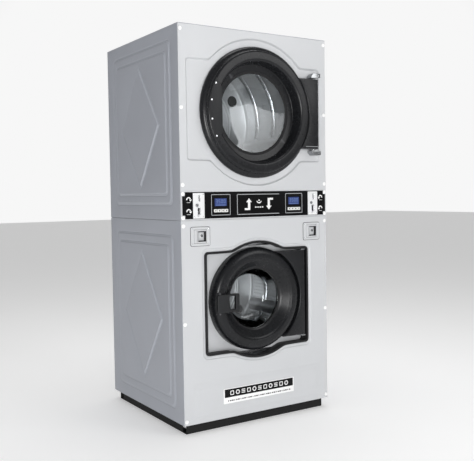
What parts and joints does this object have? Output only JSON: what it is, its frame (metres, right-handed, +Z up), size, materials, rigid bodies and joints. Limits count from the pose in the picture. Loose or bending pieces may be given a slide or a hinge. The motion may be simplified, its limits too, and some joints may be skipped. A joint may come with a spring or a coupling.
{
  "type": "stacked tumble dryer and washer",
  "caption": "Floor-standing coin-operated stack: round-door tumble dryer over a recessed-door washer, with a black control band between them.",
  "frame": {"origin": "on the floor under the middle of the machine", "axes": "+Z up, -Y is the front with the doors, +X to the right of a person facing it"},
  "size_m": [0.922, 0.94, 2.005],
  "materials": {
    "white_paint": "satin powder coat",
    "grey_paint": "satin powder coat",
    "black_paint": "satin",
    "black_plastic": "semi-gloss moulding",
    "white_plastic": "gloss",
    "stainless": "brushed",
    "galvanised": "galvanised",
    "chrome": "polished",
    "glass": "clear",
    "rubber": "matt",
    "cast": "as cast, painted",
    "aluminium": "machined",
    "motor_paint": "painted",
    "label": "printed plate"
  },
  "bodies": {
    "cabinet": {"base_plinth": "black_paint", "frame": "galvanised", "mid_deck": "white_paint", "lower_side_panels": "grey_paint", "upper_side_panels": "grey_paint", "lower_front_panel": "white_paint", "upper_front_panel": "white_paint", "top_panel": "white_paint", "back_panels": "galvanised", "control_panel": "black_plastic", "screw_caps": "white_plastic", "nameplate": "label", "coin_acceptors": "white_paint", "controllers": "black_plastic", "coin_vaults": "white_paint", "door_hinge_brackets": "chrome", "washer_recess_trim": "rubber", "washer_recess_panel": "white_paint", "washer_door_gasket": "rubber", "washer_tub": "stainless", "washer_bearing_housing": "cast", "dryer_bearing_housing": "cast", "dryer_bulkheads": "galvanised", "dryer_burner_box": "galvanised", "dryer_blower_housing": "galvanised", "lint_screen": "stainless", "service_connections": "black_plastic", "dryer_motor": "motor_paint", "washer_motor": "motor_paint", "dryer_belt": "rubber", "washer_belt": "rubber"},
    "dryer_door": {"dryer_door_ring": "black_plastic", "dryer_door_glass": "glass", "dryer_door_handle": "black_paint", "dryer_door_hinge_plate": "black_plastic"},
    "dryer_drum": {"dryer_drum": "stainless", "dryer_drum_pulley": "aluminium"},
    "dryer_rotor": {"dryer_motor_pulley": "aluminium", "dryer_blower_impeller": "aluminium"},
    "washer_door": {"washer_door_ring": "black_plastic", "washer_door_glass": "glass", "washer_door_hinge_plate": "black_plastic"},
    "washer_handle": {"washer_door_handle": "black_plastic"},
    "washer_drum": {"washer_drum": "stainless", "washer_drum_pulley": "aluminium"},
    "washer_rotor": {"washer_motor_pulley": "aluminium"},
    "coin_drawer_left": {"coin_drawer_left": "white_paint"},
    "coin_lock_left": {"coin_lock_left": "chrome"},
    "reject_button_left": {"reject_button_left": "chrome"},
    "left_key_1": {"left_key_1": "white_plastic"},
    "left_key_2": {"left_key_2": "white_plastic"},
    "left_key_3": {"left_key_3": "white_plastic"},
    "left_key_4": {"left_key_4": "white_plastic"},
    "coin_drawer_right": {"coin_drawer_right": "white_paint"},
    "coin_lock_right": {"coin_lock_right": "chrome"},
    "reject_button_right": {"reject_button_right": "chrome"},
    "right_key_1": {"right_key_1": "white_plastic"},
    "right_key_2": {"right_key_2": "white_plastic"},
    "right_key_3": {"right_key_3": "white_plastic"},
    "right_key_4": {"right_key_4": "white_plastic"}
  },
  "joints": [
    {"name": "dryer_door_hinge", "type": "hinge", "parent": "cabinet", "child": "dryer_door", "pos_m": [0.352, -0.445, 1.601], "axis": [0, 0, 1], "range_deg": [0, 165]},
    {"name": "dryer_drum_spin", "type": "hinge", "parent": "cabinet", "child": "dryer_drum", "pos_m": [0, 0, 1.596], "axis": [0, 1, 0], "continuous": true},
    {"name": "dryer_rotor_spin", "type": "hinge", "parent": "cabinet", "child": "dryer_rotor", "pos_m": [0.215, 0.33, 1.19], "axis": [0, 1, 0], "continuous": true},
    {"name": "washer_door_hinge", "type": "hinge", "parent": "cabinet", "child": "washer_door", "pos_m": [0.287, -0.415, 0.6495], "axis": [0, 0, 1], "range_deg": [0, 120]},
    {"name": "washer_handle_pivot", "type": "hinge", "parent": "washer_door", "child": "washer_handle", "pos_m": [-0.245, -0.437, 0.636], "axis": [0, 0, -1], "range_deg": [0, 25], "stiffness_Nm_per_rad": 2},
    {"name": "washer_drum_spin", "type": "hinge", "parent": "cabinet", "child": "washer_drum", "pos_m": [0, 0, 0.638], "axis": [0, 1, 0], "continuous": true},
    {"name": "washer_rotor_spin", "type": "hinge", "parent": "cabinet", "child": "washer_rotor", "pos_m": [0.215, 0.33, 0.172], "axis": [0, 1, 0], "continuous": true},
    {"name": "coin_drawer_left_slide", "type": "slide", "parent": "cabinet", "child": "coin_drawer_left", "axis": [0, -1, 0], "range_m": [0, 0.14]},
    {"name": "coin_lock_left_turn", "type": "hinge", "parent": "coin_drawer_left", "child": "coin_lock_left", "pos_m": [-0.33, -0.42, 0.98], "axis": [0, 1, 0], "range_deg": [0, 90]},
    {"name": "reject_button_left_press", "type": "slide", "parent": "cabinet", "child": "reject_button_left", "axis": [0, 1, 0], "range_m": [0, 0.003], "stiffness_N_per_m": 150},
    {"name": "left_key_1_press", "type": "slide", "parent": "cabinet", "child": "left_key_1", "axis": [0, 1, 0], "range_m": [0, 0.0015], "stiffness_N_per_m": 200},
    {"name": "left_key_2_press", "type": "slide", "parent": "cabinet", "child": "left_key_2", "axis": [0, 1, 0], "range_m": [0, 0.0015], "stiffness_N_per_m": 200},
    {"name": "left_key_3_press", "type": "slide", "parent": "cabinet", "child": "left_key_3", "axis": [0, 1, 0], "range_m": [0, 0.0015], "stiffness_N_per_m": 200},
    {"name": "left_key_4_press", "type": "slide", "parent": "cabinet", "child": "left_key_4", "axis": [0, 1, 0], "range_m": [0, 0.0015], "stiffness_N_per_m": 200},
    {"name": "coin_drawer_right_slide", "type": "slide", "parent": "cabinet", "child": "coin_drawer_right", "axis": [0, -1, 0], "range_m": [0, 0.14]},
    {"name": "coin_lock_right_turn", "type": "hinge", "parent": "coin_drawer_right", "child": "coin_lock_right", "pos_m": [0.36, -0.42, 0.98], "axis": [0, 1, 0], "range_deg": [0, 90]},
    {"name": "reject_button_right_press", "type": "slide", "parent": "cabinet", "child": "reject_button_right", "axis": [0, 1, 0], "range_m": [0, 0.003], "stiffness_N_per_m": 150},
    {"name": "right_key_1_press", "type": "slide", "parent": "cabinet", "child": "right_key_1", "axis": [0, 1, 0], "range_m": [0, 0.0015], "stiffness_N_per_m": 200},
    {"name": "right_key_2_press", "type": "slide", "parent": "cabinet", "child": "right_key_2", "axis": [0, 1, 0], "range_m": [0, 0.0015], "stiffness_N_per_m": 200},
    {"name": "right_key_3_press", "type": "slide", "parent": "cabinet", "child": "right_key_3", "axis": [0, 1, 0], "range_m": [0, 0.0015], "stiffness_N_per_m": 200},
    {"name": "right_key_4_press", "type": "slide", "parent": "cabinet", "child": "right_key_4", "axis": [0, 1, 0], "range_m": [0, 0.0015], "stiffness_N_per_m": 200}
  ],
  "couplings": [
    {"joint": "dryer_rotor_spin", "follows": "dryer_drum_spin", "ratio": 9.5},
    {"joint": "washer_rotor_spin", "follows": "washer_drum_spin", "ratio": 6.8}
  ]
}
